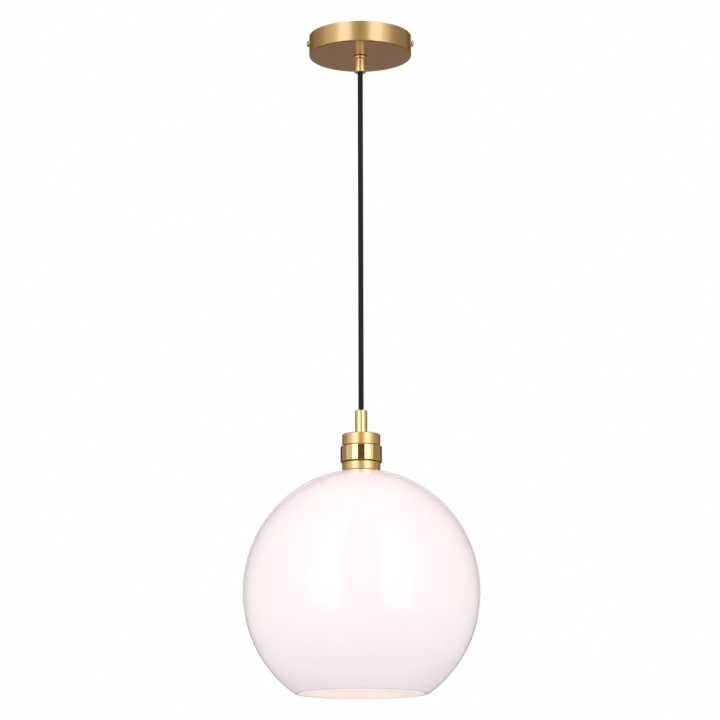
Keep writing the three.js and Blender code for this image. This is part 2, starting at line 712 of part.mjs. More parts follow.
function addLampholder() {
  addPart('lampholder_cap', holderCap(), FINISH.porcelain());
  addPart('lampholder_body', holderBody(), FINISH.porcelain());
  addPart('screw_shell', screwShell(), FINISH.plainBrass());
  addPart('centre_contact', centreContact(), FINISH.plainBrass());
  for (const [name, side, lead] of [['live', -1, FINISH.blackPlastic], ['neutral', 1, FINISH.whitePlastic]]) {
    const screw = addPart(`terminal_screw_${name}`, bindingScrew(TERMINAL.length), FINISH.plainBrass());
    screw.position.set(side * TERMINAL.offset, 0, platformTop + GAP);
    addPart(`head_lead_${name}`, terminalLead(side), lead());
  }
  const ground = addPart('head_ground_screw', bindingScrew(GROUND_TERMINAL.length), FINISH.greenScrew());
  ground.rotation.x = Math.PI;
  ground.position.set(0, GROUND_TERMINAL.y, holderCapBottom - GAP);
  addPart('head_lead_ground', headGroundLead(), FINISH.greenPlastic());
  addPart('cord_lower_end', jacket(lowerJacketBottom, lowerBend - CORD.radius - GAP), FINISH.blackBraid());
}

function addShade() {
  const gasketBottom = upperGasketTop - GASKET.thickness;
  const gasket = flatRing(couplingInner, couplingOuter, gasketBottom, upperGasketTop, SIDES.holder);
  addPart('upper_gasket', gasket, FINISH.rubber());
  addPart('glass_globe', glassGlobe(), FINISH.opalGlass());
  addPart('lower_gasket', lowerGasket(), FINISH.rubber());
  addPart('shade_ring', shadeRing(), FINISH.plainBrass());
}

function addBulb() {
  addPart('bulb_contact', bulbContact(), FINISH.zincSteel());
  addPart('bulb_cap', bulbCap(), FINISH.zincSteel());
  addPart('bulb_glass', bulbGlass(), FINISH.opalGlass());
}

addCanopyAssembly();
addCanopyWiring();
addCord();
addHeadShells();
addLampholder();
addShade();
addBulb();

export default pendant;
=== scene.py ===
"""A globe pendant ceiling light: gold canopy, black cord, stepped gold socket and open opal globe."""

import json
import math

import bpy
from mathutils import Matrix, Vector


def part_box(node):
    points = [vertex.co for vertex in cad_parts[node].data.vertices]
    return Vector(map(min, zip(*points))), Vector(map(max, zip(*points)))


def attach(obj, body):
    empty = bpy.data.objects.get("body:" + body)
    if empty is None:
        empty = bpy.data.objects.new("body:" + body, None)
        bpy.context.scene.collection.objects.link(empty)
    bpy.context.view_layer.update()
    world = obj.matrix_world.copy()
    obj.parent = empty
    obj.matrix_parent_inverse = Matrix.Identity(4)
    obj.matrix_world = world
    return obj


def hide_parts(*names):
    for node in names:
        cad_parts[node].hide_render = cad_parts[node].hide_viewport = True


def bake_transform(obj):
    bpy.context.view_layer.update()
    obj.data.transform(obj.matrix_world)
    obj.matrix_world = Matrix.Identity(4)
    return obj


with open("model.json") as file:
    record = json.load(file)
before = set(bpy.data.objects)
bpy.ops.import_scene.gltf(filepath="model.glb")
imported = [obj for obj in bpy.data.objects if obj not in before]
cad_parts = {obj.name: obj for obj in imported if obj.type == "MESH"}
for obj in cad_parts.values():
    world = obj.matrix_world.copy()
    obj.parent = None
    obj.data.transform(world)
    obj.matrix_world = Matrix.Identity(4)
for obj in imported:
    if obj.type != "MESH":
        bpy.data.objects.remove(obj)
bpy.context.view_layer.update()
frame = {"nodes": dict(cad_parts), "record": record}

MM = 0.001  # lengths and profiles below are in millimetres
BODIES = frame["record"]["behaviour"]["bodies"]
SLOTS = {part["node"]: part["material_slot"] for part in frame["record"]["subparts"]}


# ---------------------------------------------------------------- sizes, from the frame

def low(node):
    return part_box(node)[0].z / MM


def high(node):
    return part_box(node)[1].z / MM


def middle(node):
    """Centre of a node's box."""
    lowest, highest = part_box(node)
    return (lowest + highest) / 2 / MM


def radius(node):
    lowest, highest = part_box(node)
    return (highest.x - lowest.x) / 2 / MM


def body_of(node):
    return next(body for body, nodes in BODIES.items() if node in nodes)


CORD = radius("cord")
BORE = CORD + 0.4  # through both grips
STUB = 4.8  # threaded end of a grip
HOLE = STUB + 0.3  # that it goes through
WALL = 1.2  # of the canopy, the cap and the sleeve
MOUTH = 4.8  # flare where the cord leaves a grip
THROAT = 3.95
MOUTH_DEPTH = 2.0
PIN = 1.5  # radius of the grips' set screws
LEAD = 0.95  # radius of an insulated lead
LEAD_SPREAD = 1.6  # from the axis, where the leads leave the cord
GLASS = 2.6  # wall of the globe
HALF_HEIGHT = 144.7  # of the whole globe, before its mouth is cut
MOUTH_BELOW_CENTRE = 119.9
NECK = 19.75  # radius of the hole at the globe's top
THREAD_PITCH = 2.5  # on the lampholder's skirt and in the shade ring
THREAD_DEPTH = 0.4
CAP_PITCH = 3.6286  # seven turns to the inch, on the bulb's cap and in the screw shell
CAP_DEPTH = 0.5
SCREW_HEAD = 2.5  # height of the wiring screws' heads
RING_CHAMFER = 1.4  # on the polished ring
FINEST = 192  # segments round the glass and its ring
FINE = 160  # round the other large pieces
MIDDLING = 96  # round threaded and ribbed pieces
SMALL = 72
TINY = 64
SHARP_EDGE = math.radians(38)  # an edge that turns more than this is shaded sharp


# ---------------------------------------------------------------- camera, light and floor

def make_camera():
    """Below the globe and well in front of it, looking up along +Y through a long lens."""
    upward, roll = 11.68, -0.15
    data = bpy.data.cameras.new("camera")
    data.lens = 137.05
    data.sensor_width = 36
    camera = bpy.data.objects.new("camera", data)
    camera.location = (-0.0012, -3.214, -1.069)
    pitch = Matrix.Rotation(math.radians(90 + upward), 3, "X")
    camera.rotation_euler = (pitch @ Matrix.Rotation(math.radians(roll), 3, "Z")).to_euler()
    bpy.context.collection.objects.link(camera)
    bpy.context.scene.camera = camera


FACING_DOWN = (0, 0, 0)  # rotations of an area light
FACING_UP = (math.pi, 0, 0)


def softbox(name, azimuth, distance, level, size, radiance, colour=(1, 1, 1)):
    """An upright panel that faces the lamp's axis. Azimuth 0 is the camera's side, and 90 is +X."""
    turn = math.radians(azimuth)
    data = bpy.data.lights.new(name, "AREA")
    data.shape = "RECTANGLE"
    data.size, data.size_y = size
    data.energy = radiance * math.pi * size[0] * size[1]
    data.color = colour
    light = bpy.data.objects.new(name, data)
    light.location = (distance * math.sin(turn), -distance * math.cos(turn), level)
    light.rotation_euler = (math.radians(90), 0, turn)
    light.visible_camera = False
    bpy.context.collection.objects.link(light)
    return light


def make_lights():
    """Two tall softboxes with a gap between them, dimmer panels beside and behind them for the metal to
    mirror, one overhead, and soft fills that light the glass and show in no reflection."""
    warm, pinkish = (1, 0.94, 0.84), (1, 0.97, 0.98)
    softbox("softbox_left", -34.7, 2.7, 0.9, (1.48, 5.0), 2.02)
    softbox("softbox_right", 34.5, 2.7, 0.9, (1.5, 5.0), 2.02)
    softbox("panel_left", -70, 2.7, 0.9, (1.97, 5.0), 0.62, warm)
    softbox("panel_far_left", -110, 2.7, 0.9, (1.97, 5.0), 0.2, warm)
    softbox("panel_right", 59, 2.7, 0.9, (0.86, 5.0), 0.85, warm)
    softbox("panel_far_right", 99, 2.7, 0.9, (3.2, 5.0), 0.2, warm)
    softbox("backdrop", 180, 3.5, 0.5, (2.2, 1.9), 0.5)
    softbox("panel_back", 180, 4.0, -1.7, (8.0, 1.8), 0.2)
    overhead = softbox("softbox_top", 0, 0, 2.4, (3.0, 3.0), 0.35)
    overhead.rotation_euler = FACING_DOWN
    bounce = softbox("bounce_from_below", 0, 0, -3.8, (10, 10), 0.4, (1, 0.95, 1))
    bounce.rotation_euler = FACING_UP
    fills = [
        bounce,
        softbox("wing_left", -105, 3.0, -0.6, (3.0, 4.0), 0.64, pinkish),
        softbox("wing_right", 105, 3.0, -0.6, (3.0, 4.0), 0.64, pinkish),
        softbox("wing_back", 180, 3.0, -0.6, (3.5, 4.0), 1.2),
    ]
    for fill in fills:
        fill.visible_glossy = False


def make_world():
    """White to the camera. Diffuse rays see a bright room, and glossy ones a darker one for the metal."""
    world = bpy.data.worlds.new("studio")
    world.use_nodes = True
    nodes, links = world.node_tree.nodes, world.node_tree.links
    nodes.clear()
    path = nodes.new("ShaderNodeLightPath")

    def background(*colour):
        made = nodes.new("ShaderNodeBackground")
        made.inputs["Color"].default_value = (*colour, 1)
        return made.outputs[0]

    shader = background(0.33, 0.315, 0.33)
    for ray, shade in (
        ("Is Glossy Ray", background(0.12, 0.085, 0.045)),
        ("Is Camera Ray", background(1, 1, 1)),
    ):
        mix = nodes.new("ShaderNodeMixShader")
        links.new(path.outputs[ray], mix.inputs[0])
        links.new(shader, mix.inputs[1])
        links.new(shade, mix.inputs[2])
        shader = mix.outputs[0]
    links.new(shader, nodes.new("ShaderNodeOutputWorld").inputs["Surface"])
    bpy.context.scene.world = world
    bpy.context.scene.view_settings.view_transform = "Standard"


def make_floor():
    """The room's floor, far below. It has its own light and adds none to the lamp."""
    size, level = 30, -4.0
    corners = [(x * size, y * size, level) for x, y in ((-1, -1), (1, -1), (1, 1), (-1, 1))]
    mesh = bpy.data.meshes.new("floor")
    mesh.from_pydata(corners, [], [(0, 1, 2, 3)])
    floor = bpy.data.objects.new("floor", mesh)
    bpy.context.collection.objects.link(floor)
    paint = Surface("floor_paint", (0.9, 0.9, 0.9), 0.9)
    paint.speckle((0.9, 0.9, 0.9), (0.86, 0.86, 0.86), 3)
    floor.data.materials.append(paint.material)
    floor.visible_glossy = False
    floor.visible_diffuse = False
    wash = softbox("floor_wash", 0, 0, level + 0.6, (2.5 * size, 2.5 * size), 1.1)
    wash.rotation_euler = FACING_DOWN


# ---------------------------------------------------------------- materials

class Surface:
    """One material: a Principled shader whose colour, roughness and relief come from nodes."""

    def __init__(self, name, colour, roughness, metallic=0.0, **more):
        self.material = bpy.data.materials.new(name)
        self.material.use_nodes = True
        self.nodes, self.links = self.material.node_tree.nodes, self.material.node_tree.links
        self.shader = self.nodes["Principled BSDF"]
        self.shader.inputs["Base Color"].default_value = (*colour, 1)
        self.shader.inputs["Roughness"].default_value = roughness
        self.shader.inputs["Metallic"].default_value = metallic
        for socket, value in more.items():
            self.shader.inputs[socket.replace("_", " ")].default_value = value
        self.place = self.node("TexCoord").outputs["Object"]

    def node(self, kind, **settings):
        made = self.nodes.new("ShaderNode" + kind)
        for key, value in settings.items():
            setattr(made, key, value)
        return made

    def fill(self, sockets, values):
        for socket, value in zip(sockets, values):
            if isinstance(value, (int, float)):
                socket.default_value = value
            else:
                self.links.new(value, socket)

    def maths(self, operation, *values):
        made = self.node("Math", operation=operation)
        self.fill(made.inputs, values)
        return made.outputs[0]

    def vector(self, x, y, z):
        made = self.node("CombineXYZ")
        self.fill(made.inputs, (x, y, z))
        return made.outputs[0]

    def noise(self, vector, scale, detail=3.0, rough=0.5):
        made = self.node("TexNoise")
        made.inputs["Scale"].default_value = scale
        made.inputs["Detail"].default_value = detail
        made.inputs["Roughness"].default_value = rough
        self.links.new(vector, made.inputs["Vector"])
        return made.outputs["Fac"]

    def between(self, factor, start, end, first=0.0, last=1.0):
        """Maps a factor that runs from first to last onto values from start to end."""
        made = self.node("MapRange")
        made.inputs["From Min"].default_value = first
        made.inputs["From Max"].default_value = last
        made.inputs["To Min"].default_value = start
        made.inputs["To Max"].default_value = end
        self.links.new(factor, made.inputs["Value"])
        return made.outputs["Result"]

    def blend(self, factor, first, second):
        """Mixes two colours, each given as red, green and blue or as a node's output."""
        made = self.node("Mix", data_type="RGBA")
        self.links.new(factor, made.inputs[0])
        for socket, value in ((made.inputs[6], first), (made.inputs[7], second)):
            if isinstance(value, tuple):
                socket.default_value = (*value, 1)
            else:
                self.links.new(value, socket)
        return made.outputs[2]

    def round_axis(self):
        """Distance from the piece's axis, height along it, and turn round it."""
        parts = self.node("SeparateXYZ")
        self.links.new(self.place, parts.inputs[0])
        x, y, z = parts.outputs
        squares = self.maths("ADD", self.maths("MULTIPLY", x, x), self.maths("MULTIPLY", y, y))
        return self.maths("SQRT", squares), z, self.maths("ARCTAN2", y, x)

    def colour(self, output):
        self.links.new(output, self.shader.inputs["Base Color"])

    def roughness(self, output):
        self.links.new(output, self.shader.inputs["Roughness"])

    def bump(self, height, depth, strength=1.0):
        """Fine relief, this deep in millimetres."""
        made = self.node("Bump")
        made.inputs["Distance"].default_value = depth * MM
        made.inputs["Strength"].default_value = strength
        self.links.new(height, made.inputs["Height"])
        self.links.new(made.outputs["Normal"], self.shader.inputs["Normal"])

    def speckle(self, first, second, scale):
        self.colour(self.blend(self.noise(self.place, scale), first, second))

    def lathe_lines(self, lines_per_metre, depth):
        """Fine lines that run round the axis, as a lathe or a brushing belt leaves them."""
        across, height, turn = self.round_axis()
        stretched = self.vector(
            self.maths("MULTIPLY", across, lines_per_metre),
            self.maths("MULTIPLY", height, lines_per_metre),
            self.maths("MULTIPLY", turn, 0.6),
        )
        grain = self.noise(stretched, 1.0, 4.0, 0.6)
        self.bump(grain, depth)
        return across, height, grain

    def turned_grain(self, lines_per_metre, rough, colours, depth):
        grain = self.lathe_lines(lines_per_metre, depth)[2]
        self.roughness(self.between(grain, *rough))
        self.colour(self.blend(self.noise(self.place, 60.0, 2.0), *colours))


def brushed_gold():
    """Lathe-brushed plating under clear lacquer. The canopy is plated a shade deeper, and its underside is
    given a darker, redder colour as painted shade; the narrow grips are a shade lighter, as painted light."""
    made = Surface(
        "brushed_gold", (0.90, 0.56, 0.20), 0.4, 1.0,
        Coat_Weight=1.0, Coat_IOR=2.1, Coat_Roughness=0.22, Specular_Tint=(1.0, 0.86, 0.5, 1),
    )
    across, height = made.lathe_lines(1400, 0.02)[:2]
    wide = made.between(across, 0, 1, 0.0086, 0.0095)
    on_canopy = made.between(height, 0, 1, -0.0265, -0.0255)
    # painted shade: the bottom 0.3 mm of the canopy, its underside, gets a darker and redder colour
    underside = made.between(height, 1, 0, -0.0249, -0.0246)
    # painted light: the narrow grips get a lighter colour than the head, for brighter highlights
    painted_light_grips_and_head = made.blend(wide, (1.0, 0.76, 0.36), (0.90, 0.62, 0.235))
    canopy = made.blend(underside, (0.64, 0.415, 0.14), (0.62, 0.30, 0.08))
    made.colour(made.blend(on_canopy, painted_light_grips_and_head, canopy))
    rough = made.between(made.noise(made.place, 900.0), 0.35, 0.43)
    made.roughness(made.maths("ADD", made.maths("MULTIPLY", wide, 0.05), rough))
    return made.material


def polished_brass():
    """Nearly a mirror. The ring's lower chamfer is coloured dark brown, as painted shade."""
    made = Surface("polished_brass", (0.88, 0.70, 0.37), 0.08, 1.0)
    height, grain = made.lathe_lines(900, 0.002)[1:]
    made.roughness(made.between(grain, 0.05, 0.11))
    edge = (low("polished_ring") + RING_CHAMFER) * MM
    # painted shade: below the lower chamfer's top edge the colour turns dark brown
    below = made.between(height, 0, 1, edge, edge - 0.2 * MM)
    made.colour(made.blend(below, (0.88, 0.70, 0.37), (0.16, 0.10, 0.04)))
    return made.material


def plain_brass():
    made = Surface("plain_brass", (0.62, 0.44, 0.18), 0.3, 1.0)
    made.turned_grain(1800, (0.22, 0.42), ((0.64, 0.46, 0.19), (0.52, 0.36, 0.15)), 0.02)
    return made.material


def zinc_steel():
    made = Surface("zinc_steel", (0.62, 0.63, 0.65), 0.35, 1.0)
    spangle = made.noise(made.place, 260.0, 3.0)
    made.colour(made.blend(spangle, (0.56, 0.57, 0.60), (0.70, 0.71, 0.72)))
    made.roughness(made.between(spangle, 0.26, 0.46))
    made.bump(made.noise(made.place, 1800.0, 2.0), 0.01)
    return made.material


def bulb_metal():
    made = Surface("bulb_metal", (0.72, 0.72, 0.71), 0.25, 1.0)
    made.turned_grain(1600, (0.18, 0.34), ((0.74, 0.74, 0.73), (0.64, 0.63, 0.62)), 0.01)
    return made.material


def opal_glass():
    """Dense white glass with a glossy skin. Its colour changes with height from the mouth, below, to the
    neck:
    partly its own pink tint, partly painted light and shade, lighter at the mouth end and darker above
    the middle; the inside is painted whitest, as painted light."""
    made = Surface(
        "opal_glass", (0.95, 0.92, 0.92), 0.03, IOR=1.42,
        Subsurface_Weight=1.0, Subsurface_Radius=(1.0, 0.85, 0.8), Subsurface_Scale=0.006,
    )
    lowest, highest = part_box("glass_globe")
    across, height = made.round_axis()[:2]
    rise = made.between(height, 0, 1, lowest.z, highest.z)
    # own pink tint plus painted light and shade by height: lightest at the mouth end, darkest above the
    # middle
    tint_and_painted_light_ramp = made.node("ValToRGB")
    stops = tint_and_painted_light_ramp.color_ramp.elements
    stops[0].color = (0.98, 0.90, 0.945, 1)
    stops[1].color = (0.93, 0.84, 0.865, 1)
    stops.new(0.15).color = (0.98, 0.90, 0.945, 1)
    stops.new(0.4).color = (0.935, 0.85, 0.885, 1)
    stops.new(0.65).color = (0.89, 0.81, 0.84, 1)
    made.links.new(rise, tint_and_painted_light_ramp.inputs["Fac"])
    level = made.maths("SUBTRACT", height, lowest.z + MOUTH_BELOW_CENTRE * MM)
    reach = made.node("VectorMath", operation="LENGTH")
    scaled = (made.maths("DIVIDE", across, highest.x), made.maths("DIVIDE", level, HALF_HEIGHT * MM), 0)
    made.links.new(made.vector(*scaled), reach.inputs[0])
    # painted light: the inner surface is coloured whiter than the outside
    inside = made.between(reach.outputs["Value"], 1, 0, 0.985, 0.995)
    made.colour(made.blend(inside, tint_and_painted_light_ramp.outputs["Color"], (0.995, 0.97, 0.96)))
    made.bump(made.noise(made.place, 9.0, 1.0), 0.4, 0.25)
    return made.material


def bulb_white():
    """Frosted glass that glows warm, as the lamp does when it is on."""
    made = Surface(
        "bulb_white", (0.84, 0.83, 0.80), 0.35, Coat_Weight=0.3, Coat_Roughness=0.2,
        Emission_Color=(1.0, 0.83, 0.74, 1), Emission_Strength=3.9,
    )
    made.speckle((0.85, 0.84, 0.81), (0.81, 0.80, 0.76), 120)
    made.bump(made.noise(made.place, 2500.0, 2.0), 0.006)
    return made.material


def porcelain():
    made = Surface("porcelain", (0.86, 0.83, 0.76), 0.2, Coat_Weight=0.8, Coat_Roughness=0.06)
    made.speckle((0.88, 0.85, 0.78), (0.80, 0.77, 0.69), 170)
    made.bump(made.noise(made.place, 140.0, 2.0), 0.06, 0.5)
    return made.material


def rubber():
    made = Surface("rubber", (0.03, 0.03, 0.03), 0.75)
    made.speckle((0.035, 0.035, 0.035), (0.02, 0.02, 0.022), 400)
    made.bump(made.noise(made.place, 3000.0, 2.0), 0.01)
    return made.material


def green_metal():
    made = Surface("green_metal", (0.06, 0.24, 0.10), 0.35, 0.9)
    made.speckle((0.06, 0.26, 0.11), (0.04, 0.17, 0.07), 300)
    made.bump(made.noise(made.place, 1500.0, 2.0), 0.01)
    return made.material


def moulded(name, colour):
    """Plain moulded plastic or wire insulation."""
    made = Surface(name, colour, 0.45)
    made.speckle(colour, tuple(0.82 * part for part in colour), 220)
    made.bump(made.noise(made.place, 1600.0, 2.0), 0.012)
    return made.material


def black_braid():
    """Textile sleeve: two sets of threads that wind opposite ways round the cord."""
    made = Surface("black_braid", (0.012, 0.0115, 0.014), 0.7, Specular_IOR_Level=0.2)
    height, turn = made.round_axis()[1:]
    around = made.maths("MULTIPLY", turn, 24)
    along = made.maths("MULTIPLY", height, 5200)
    right = made.maths("SINE", made.maths("ADD", around, along))
    left = made.maths("SINE", made.maths("SUBTRACT", around, along))
    weave = made.between(made.maths("MULTIPLY", right, left), 0, 1, first=-1)
    fuzz = made.noise(made.place, 2600.0, 3.0)
    made.colour(made.blend(weave, (0.007, 0.0068, 0.0085), (0.020, 0.019, 0.024)))
    made.bump(made.maths("ADD", weave, made.maths("MULTIPLY", fuzz, 0.5)), 0.12)
    return made.material


def make_finishes():
    """One material for each of the record's slots."""
    return {
        "brushed_gold": brushed_gold(),
        "polished_brass": polished_brass(),
        "plain_brass": plain_brass(),
        "zinc_steel": zinc_steel(),
        "bulb_metal": bulb_metal(),
        "opal_glass": opal_glass(),
        "bulb_glass": bulb_white(),
        "porcelain": porcelain(),
        "rubber": rubber(),
        "green_metal": green_metal(),
        "black_braid": black_braid(),
        "black_insulation": moulded("black_insulation", (0.015, 0.015, 0.016)),
        "white_insulation": moulded("white_insulation", (0.80, 0.79, 0.76)),
        "green_insulation": moulded("green_insulation", (0.03, 0.26, 0.09)),
        "orange_plastic": moulded("orange_plastic", (0.72, 0.22, 0.03)),
        "green_plastic": moulded("green_plastic", (0.04, 0.30, 0.10)),
    }


# ---------------------------------------------------------------- mesh making

def rounded(corners, steps=5):
    """Points of a profile. Each corner is (radius, z), or (radius, z, fillet) where it is rounded off."""
    points = []
    for i, (r, z, *fillet) in enumerate(corners):
        if not fillet:
            points.append((r, z))
            continue
        here = Vector((r, z))
        before = (Vector(corners[i - 1][:2]) - here).normalized()
        after = (Vector(corners[(i + 1) % len(corners)][:2]) - here).normalized()
        half = before.angle(after) / 2
        centre = here + (before + after).normalized() * fillet[0] / math.sin(half)
        start = here + before * fillet[0] / math.tan(half) - centre
        end = here + after * fillet[0] / math.tan(half) - centre
        first = math.atan2(start.y, start.x)
        sweep = (math.atan2(end.y, end.x) - first + math.pi) % (2 * math.pi) - math.pi
        turns = [math.degrees(angle) for angle in (first, first + sweep)]
        points += arc(centre.x, centre.y, fillet[0], *turns, steps)
    return points


def wall(r, start, end, step=0.3):
    """Points up or down a straight wall, close enough together to carry a thread."""
    count = math.ceil(abs(end - start) / step)
    return [(r, start + (end - start) * i / count) for i in range(count + 1)]


def arc(r, z, size, start, end, steps=8):
    """Points on part of a circle, from one angle to another in degrees."""
    points = []
    for i in range(steps + 1):
        angle = math.radians(start + (end - start) * i / steps)
        points.append((r + size * math.cos(angle), z + size * math.sin(angle)))
    return points


def turned(name, profile, segments, shape=None):
    """Turns a profile in millimetres about Z, with its material on the left. It starts and ends on the
    axis, or joins up. shape(r, z, angle) may change a point's distance from the axis."""
    vertices, rings = [], []
    for r, z in profile:
        if r < 1e-6:
            rings.append([len(vertices)] * segments)
            vertices.append((0, 0, z * MM))
            continue
        rings.append(list(range(len(vertices), len(vertices) + segments)))
        for k in range(segments):
            angle = 2 * math.pi * k / segments
            reach = (shape(r, z, angle) if shape else r) * MM
            vertices.append((reach * math.cos(angle), reach * math.sin(angle), z * MM))
    pairs = list(zip(rings, rings[1:]))
    if profile[0][0] > 1e-6:
        pairs.append((rings[-1], rings[0]))
    faces = []
    for lower, upper in pairs:
        for k in range(segments):
            after = (k + 1) % segments
            corners = list(dict.fromkeys((lower[k], lower[after], upper[after], upper[k])))
            if len(corners) > 2:
                faces.append(corners)
    mesh = bpy.data.meshes.new(name)
    mesh.from_pydata(vertices, [], faces)
    mesh.validate()
    piece = bpy.data.objects.new(name, mesh)
    bpy.context.collection.objects.link(piece)
    return piece


def place(piece, location, rotation=(0, 0, 0)):
    """Location in millimetres and rotation in degrees."""
    piece.location = [part * MM for part in location]
    piece.rotation_euler = [math.radians(part) for part in rotation]
    return piece


def cut(piece, cutter):
    """Cuts one piece out of another for good, and removes the cutter."""
    difference = piece.modifiers.new("cut", "BOOLEAN")
    difference.operation = "DIFFERENCE"
    difference.solver = "EXACT"
    difference.object = cutter
    bpy.context.view_layer.update()
    whole = piece.data
    result = piece.evaluated_get(bpy.context.evaluated_depsgraph_get())
    piece.data = bpy.data.meshes.new_from_object(result)
    piece.modifiers.clear()
    bpy.data.meshes.remove(whole)
    bpy.data.objects.remove(cutter)


def pin(size, start, end, sides=32, shape=None):
    """A round, hexagonal or shaped bar along Z, mostly for cutting with."""
    return turned("pin", [(0, start), (size, start), (size, end), (0, end)], sides, shape)


def finished(piece, node):
    """Smooths the piece, gives it the CAD node's finish and body, hides that node, and lets the piece stand
    for it.
    """
    piece.name = node + "_finished"
    if piece.type == "MESH":
        piece.data.shade_smooth()
        piece.data.set_sharp_from_angle(angle=SHARP_EDGE)
        weights = piece.modifiers.new("even_normals", "WEIGHTED_NORMAL")
        weights.keep_sharp = True
    piece.data.materials.clear()
    piece.data.materials.append(FINISHES[SLOTS[node]])
    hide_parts(node)
    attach(piece, body_of(node))
    return piece


def thread(pitch, depth, start, end, fade=1.5):
    """A right-hand thread between two levels, which runs out at both ends. It adds to the radius."""
    def shape(r, z, angle):
        run_out = max(0.0, min(1.0, (z - start) / fade, (end - z) / fade))
        return r + depth * run_out * math.sin(2 * math.pi * z / pitch - angle)
    return shape


def plain_ring(node, inner, edge, segments=SMALL):
    """A ring with eased edges, of the CAD node's size."""
    r, bottom, top = radius(node), low(node), high(node)
    profile = rounded([(inner, bottom, edge), (r, bottom, edge), (r, top, edge), (inner, top, edge)], 3)
    return turned(node, profile, segments)


# ---------------------------------------------------------------- ceiling side

def make_canopy():
    """Shallow pan, open at the top, with holes for the cord grip and the two side screws."""
    r, bottom, top = radius("canopy"), low("canopy"), high("canopy")
    plate = bottom + WALL
    screw_hole, screw_level = 2.3, middle("canopy_screw_left").z
    shell = turned("canopy", rounded([
        (HOLE, bottom, 0.15),
        (r, bottom, 1.5),
        (r, top, 0.4),
        (r - WALL, top, 0.4),
        (r - WALL, plate, 0.8),
        (HOLE, plate, 0.15),
    ], 6), FINE)
    for side in (-1, 1):
        cut(shell, place(pin(screw_hole, -4, 4), (side * r, 0, screw_level), (0, 90, 0)))
    finished(shell, "canopy")


def hexagon(across_flats, chamfer_from, bottom, top):
    """Shape of a nut: flat sides, and corners taken off at both ends. Its bore stays round."""
    def shape(r, z, angle):
        if r < across_flats / 2:
            return r
        flat = across_flats / 2 / math.cos((angle + math.pi / 6) % (math.pi / 3) - math.pi / 6)
        return min(flat, chamfer_from + 1.8 * min(z - bottom, top - z))
    return shape


def make_nuts():
    """Two thin nuts. Their outside points start far out, and the hexagon pulls them in."""
    for node in ("canopy_lock_nut", "head_lock_nut"):
        lowest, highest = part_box(node)
        flats, bottom, top = (highest.y - lowest.y) / MM, low(node), high(node)
        shares = (0, 0.06, 0.12, 0.2, 0.8, 0.88, 0.94, 1)
        outside = [(flats, bottom + (top - bottom) * share) for share in shares]
        outline = hexagon(flats, flats / 2, bottom, top)
        nut = turned(node, [(HOLE, bottom), *outside, (HOLE, top)], MIDDLING, outline)
        finished(nut, node)


def make_washers_and_collar():
    finished(plain_ring("canopy_washer", HOLE, 0.2), "canopy_washer")
    finished(plain_ring("head_washer", HOLE, 0.2), "head_washer")
    finished(plain_ring("upper_grip_collar", HOLE, 0.5, MIDDLING), "upper_grip_collar")


def make_upper_grip():
    """Body with a flared mouth below and a threaded stub above."""
    node = "upper_cord_grip"
    r, bottom, top = radius(node), low(node), high(node)
    shoulder = low("upper_grip_collar") - 0.3
    grip = turned(node, [
        (BORE, bottom + 3),
        (THROAT, bottom + MOUTH_DEPTH),
        (MOUTH, bottom + 0.15),
        (MOUTH + 0.2, bottom),
        *arc(r - 1, bottom + 1, 1, -90, 0),
        *arc(r - 0.3, shoulder - 0.3, 0.3, 0, 90, 4),
        (STUB, shoulder),
        *wall(STUB - 0.15, shoulder + 0.1, top - 0.6, 0.2),
        (STUB - 0.6, top),
        (BORE, top),
    ], MIDDLING, lambda r, z, angle: r if z < shoulder else stub_thread(r, z, angle, shoulder, top))
    drill_grip(grip, "upper_grip_screw")
    finished(grip, node)


def drill_grip(grip, screw):
    """The hole for a grip's set screw, from the back."""
    cut(grip, place(pin(PIN + 0.3, 0, 8), (0, 2, middle(screw).z), (-90, 0, 0)))


def stub_thread(r, z, angle, bottom, top):
    """Metric fine thread on the outside of a grip's stub."""
    if r < BORE + 0.5:
        return r
    return thread(1.0, 0.15, bottom, top, 0.6)(r, z, angle)


def make_lower_grip():
    """The same body upside down, and longer."""
    node = "lower_cord_grip"
    r, bottom, top = radius(node), low(node), high(node)
    shoulder = high("socket_cap") + 0.3
    grip = turned(node, [
        (BORE, bottom),
        (STUB - 0.6, bottom),
        *wall(STUB - 0.15, bottom + 0.6, shoulder - 0.1, 0.2),
        (STUB, shoulder),
        *arc(r - 0.3, shoulder + 0.3, 0.3, -90, 0, 4),
        *arc(r - 1.2, top - 1.2, 1.2, 0, 90),
        (MOUTH + 0.2, top),
        (MOUTH, top - 0.15),
        (THROAT, top - MOUTH_DEPTH),
        (BORE, top - 3),
    ], MIDDLING, lambda r, z, angle: r if z > shoulder else stub_thread(r, z, angle, bottom, shoulder))
    drill_grip(grip, "lower_grip_screw")
    finished(grip, node)


def screw_along_z(name, head_radius, head_height, shank_radius, shank_length, pitch, domed=False):
    """A screw with its head's underside at z = 0 and its point below."""
    edge, rim = 0.7, 0.9
    head = [(head_radius, 0.2), *arc(head_radius - edge, head_height - edge, edge, 0, 90, 5)]
    if domed:
        turns = [math.radians(turn) for turn in range(0, 90, 9)]
        rise = head_height - rim
        head = [(head_radius * math.cos(turn), rim + rise * math.sin(turn)) for turn in turns]
    profile = [
        (0, -shank_length),
        (shank_radius - 0.4, -shank_length),
        *wall(shank_radius - 0.1, 0.4 - shank_length, 0, 0.15),
        (head_radius - 0.2, 0),
        (head_radius, 0.2),
        *head,
        (0, head_height),
    ]
    winding = thread(pitch, 0.12, -shank_length, -0.3, 0.5)
    return turned(name, profile, TINY, lambda r, z, angle: winding(r, z, angle) if z < 0 else r)


def cross(r, z, angle):
    """Outline of a cross recess: four narrow arms. It is the same at every level."""
    arm = min(angle % (math.pi / 2), math.pi / 2 - angle % (math.pi / 2))
    return r if arm < 0.2 else 0.45 * r


